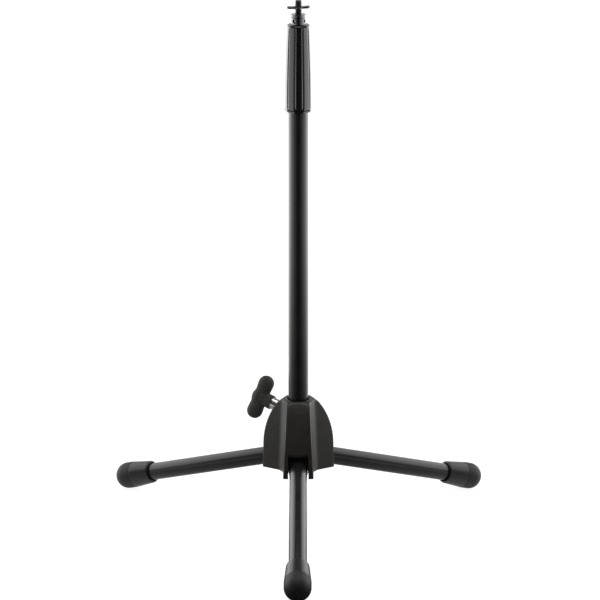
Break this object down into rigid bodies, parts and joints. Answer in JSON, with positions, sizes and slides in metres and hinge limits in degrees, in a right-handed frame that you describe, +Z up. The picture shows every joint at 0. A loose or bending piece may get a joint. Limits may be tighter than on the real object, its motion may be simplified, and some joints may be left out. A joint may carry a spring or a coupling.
{
  "type": "practice pad stand",
  "caption": "Black folding tripod stand for a practice pad, with a telescopic mast, a twist-clutch grip, a T-knob clamp and a threaded pad stud.",
  "frame": {"origin": "on the floor, at the centre of the footprint's bounding box; the mast stands at x 0 and y 0.06413 m, because one leg points forwards", "axes": "+Z up along the mast, +Y to the back, +X to the right; one leg points to the front along -Y"},
  "size_m": [0.4778, 0.4184, 0.6799],
  "materials": {
    "hub_plastic": "satin moulded black plastic with a fine texture",
    "knuckle_plastic": "black moulded plastic",
    "black_powder_coat": "satin black powder coat on steel tube",
    "foot_rubber": "matte black moulded rubber",
    "cap_plastic": "black moulded plastic",
    "chrome_plate": "dark polished chrome plate on steel",
    "guide_nylon": "natural nylon",
    "grip_plastic": "satin black moulded plastic",
    "zinc_steel": "bright zinc-plated steel",
    "black_steel": "black-finished steel",
    "nickel_plate": "polished nickel plate",
    "brass": "turned brass",
    "knob_plastic": "half-gloss moulded black plastic"
  },
  "bodies": {
    "hub": {"hub_housing": "hub_plastic", "tube_bush": "guide_nylon", "clamp_insert": "brass", "pivot_pin_front": "zinc_steel", "pivot_pin_right": "zinc_steel", "pivot_pin_left": "zinc_steel"},
    "front_leg": {"leg_knuckle_front": "knuckle_plastic", "leg_tube_front": "black_powder_coat", "rubber_foot_front": "foot_rubber"},
    "right_leg": {"leg_knuckle_right": "knuckle_plastic", "leg_tube_right": "black_powder_coat", "rubber_foot_right": "foot_rubber"},
    "left_leg": {"leg_knuckle_left": "knuckle_plastic", "leg_tube_left": "black_powder_coat", "rubber_foot_left": "foot_rubber"},
    "mast": {"outer_tube": "black_powder_coat", "tube_end_cap": "cap_plastic", "clutch_ferrule": "zinc_steel", "clutch_collet": "guide_nylon"},
    "grip": {"grip_sleeve": "grip_plastic"},
    "rod": {"inner_rod": "chrome_plate", "rod_guide": "guide_nylon", "rod_end_plug": "chrome_plate", "pad_stud": "black_steel"},
    "nut": {"wing_nut": "black_steel"},
    "shoe": {"clamp_shoe": "guide_nylon"},
    "knob": {"clamp_screw": "zinc_steel", "knob_ferrule": "nickel_plate", "clamp_knob": "knob_plastic"}
  },
  "joints": [
    {"name": "front_leg_fold", "type": "hinge", "parent": "hub", "child": "front_leg", "pos_m": [0, 0.03713, 0.08957], "axis": [1, 0, 0], "range_deg": [0, 72.3]},
    {"name": "right_leg_fold", "type": "hinge", "parent": "hub", "child": "right_leg", "pos_m": [0.02338, 0.07763, 0.08957], "axis": [-0.5, 0.866, 0], "range_deg": [0, 72.3]},
    {"name": "left_leg_fold", "type": "hinge", "parent": "hub", "child": "left_leg", "pos_m": [-0.02338, 0.07763, 0.08957], "axis": [-0.5, -0.866, 0], "range_deg": [0, 72.3]},
    {"name": "mast_slide", "type": "slide", "parent": "hub", "child": "mast", "axis": [0, 0, 1], "range_m": [-0.07, 0.05]},
    {"name": "rod_slide", "type": "slide", "parent": "mast", "child": "rod", "axis": [0, 0, 1], "range_m": [0, 0.388]},
    {"name": "grip_twist", "type": "hinge", "parent": "mast", "child": "grip", "pos_m": [0, 0.06413, 0.6], "axis": [0, 0, 1], "range_deg": [0, 270]},
    {"name": "wing_nut_turn", "type": "hinge", "parent": "rod", "child": "nut", "pos_m": [0, 0.06413, 0.67197], "axis": [0, 0, 1], "range_deg": [-1800, 2160]},
    {"name": "clamp_press", "type": "slide", "parent": "hub", "child": "shoe", "axis": [-0.8304, 0.4794, 0.284], "range_m": [0, 0.0025]},
    {"name": "clamp_turn", "type": "hinge", "parent": "shoe", "child": "knob", "pos_m": [0, 0.06413, 0.14357], "axis": [-0.8304, 0.4794, 0.284], "range_deg": [0, 720]}
  ],
  "couplings": [
    {"joint": "clamp_turn", "follows": "clamp_press", "rad_per_m": 5026.5}
  ]
}
